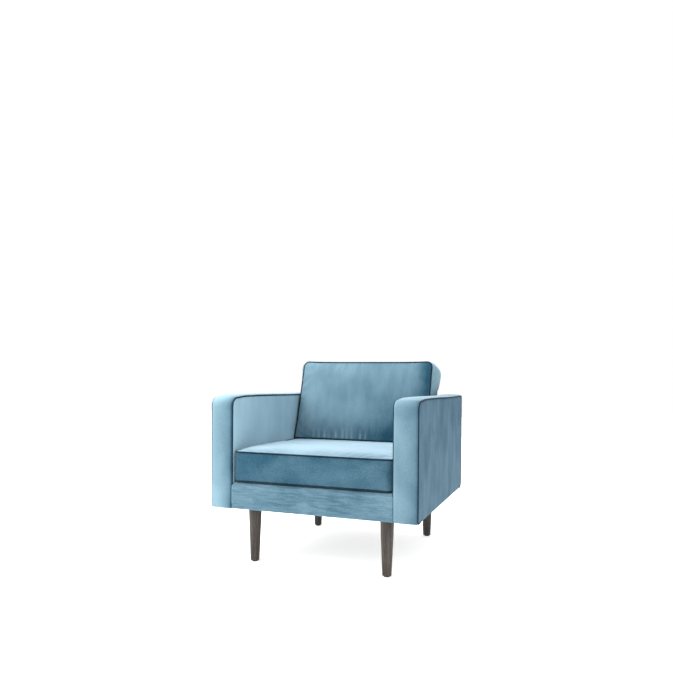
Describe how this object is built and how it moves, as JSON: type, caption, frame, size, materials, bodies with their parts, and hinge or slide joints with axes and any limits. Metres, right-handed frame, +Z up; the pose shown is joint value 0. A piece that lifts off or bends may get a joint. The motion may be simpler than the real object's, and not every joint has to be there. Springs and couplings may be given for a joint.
{
  "type": "upholstered armchair",
  "caption": "Box armchair with slab arms, a loose seat cushion and a loose leaning back cushion, on tapered round legs.",
  "frame": {"origin": "on the floor under the middle of the chair", "axes": "+Z up, +Y to the back, -Y to the sitter's front, +X to the right as seen from the front"},
  "size_m": [0.8, 0.83, 0.7793],
  "materials": {
    "velvet": "matte",
    "piping_velvet": "matte",
    "stained_leg_wood": "satin",
    "frame_timber": "matte",
    "hardboard": "matte",
    "webbing": "matte",
    "felt": "matte",
    "deck_lining": "matte",
    "foam": "matte",
    "cambric": "matte",
    "zinc_steel": "satin",
    "glide_plastic": "matte",
    "zip_tape": "matte",
    "zip_metal": "satin"
  },
  "bodies": {
    "chair": {"front_rail": "frame_timber", "rear_rail": "frame_timber", "left_side_rail": "frame_timber", "right_side_rail": "frame_timber", "corner_blocks": "frame_timber", "webbing_straps": "webbing", "webbing_cross_straps": "webbing", "deck_pad": "felt", "deck_cloth": "deck_lining", "front_rail_padding": "foam", "front_rail_cover": "velvet", "dust_cover": "cambric", "leg_front_left": "stained_leg_wood", "leg_front_right": "stained_leg_wood", "leg_rear_left": "stained_leg_wood", "leg_rear_right": "stained_leg_wood", "leg_plates": "zinc_steel", "hanger_bolts": "zinc_steel", "leg_plate_screws": "zinc_steel", "foot_glides": "glide_plastic", "left_arm_front_post": "frame_timber", "left_arm_rear_post": "frame_timber", "left_arm_top_rail": "frame_timber", "left_arm_bottom_rail": "frame_timber", "left_arm_boards": "hardboard", "left_arm_foam": "foam", "left_arm_inner_panel": "velvet", "left_arm_outer_panel": "velvet", "left_arm_band": "velvet", "left_arm_piping": "piping_velvet", "right_arm_front_post": "frame_timber", "right_arm_rear_post": "frame_timber", "right_arm_top_rail": "frame_timber", "right_arm_bottom_rail": "frame_timber", "right_arm_boards": "hardboard", "right_arm_foam": "foam", "right_arm_inner_panel": "velvet", "right_arm_outer_panel": "velvet", "right_arm_band": "velvet", "right_arm_piping": "piping_velvet", "back_stiles": "frame_timber", "back_top_rail": "frame_timber", "back_board": "hardboard", "back_foam": "foam", "inside_back_panel": "velvet", "back_top_band": "velvet", "outside_back_panel": "velvet", "back_piping": "piping_velvet", "frame_dowels": "frame_timber", "arm_bolts": "zinc_steel"},
    "seat_cushion": {"seat_cushion_cover": "velvet", "seat_cushion_core": "foam", "seat_cushion_piping": "piping_velvet", "seat_zip_tape": "zip_tape"},
    "seat_zip_slider": {"seat_zip_slider": "zip_metal"},
    "back_cushion": {"back_cushion_cover": "velvet", "back_cushion_core": "foam", "back_cushion_piping": "piping_velvet", "back_zip_tape": "zip_tape"},
    "back_zip_slider": {"back_zip_slider": "zip_metal"}
  },
  "joints": [
    {"name": "seat_cushion_slide", "type": "slide", "parent": "chair", "child": "seat_cushion", "axis": [0, -1, 0], "range_m": [0, 0.66]},
    {"name": "back_cushion_lift", "type": "slide", "parent": "chair", "child": "back_cushion", "axis": [0, 0.284, 0.9588], "range_m": [0, 0.36]},
    {"name": "seat_zip_slide", "type": "slide", "parent": "seat_cushion", "child": "seat_zip_slider", "axis": [-1, 0, 0], "range_m": [0, 0.46]},
    {"name": "back_zip_slide", "type": "slide", "parent": "back_cushion", "child": "back_zip_slider", "axis": [-1, 0, 0], "range_m": [0, 0.4]}
  ]
}
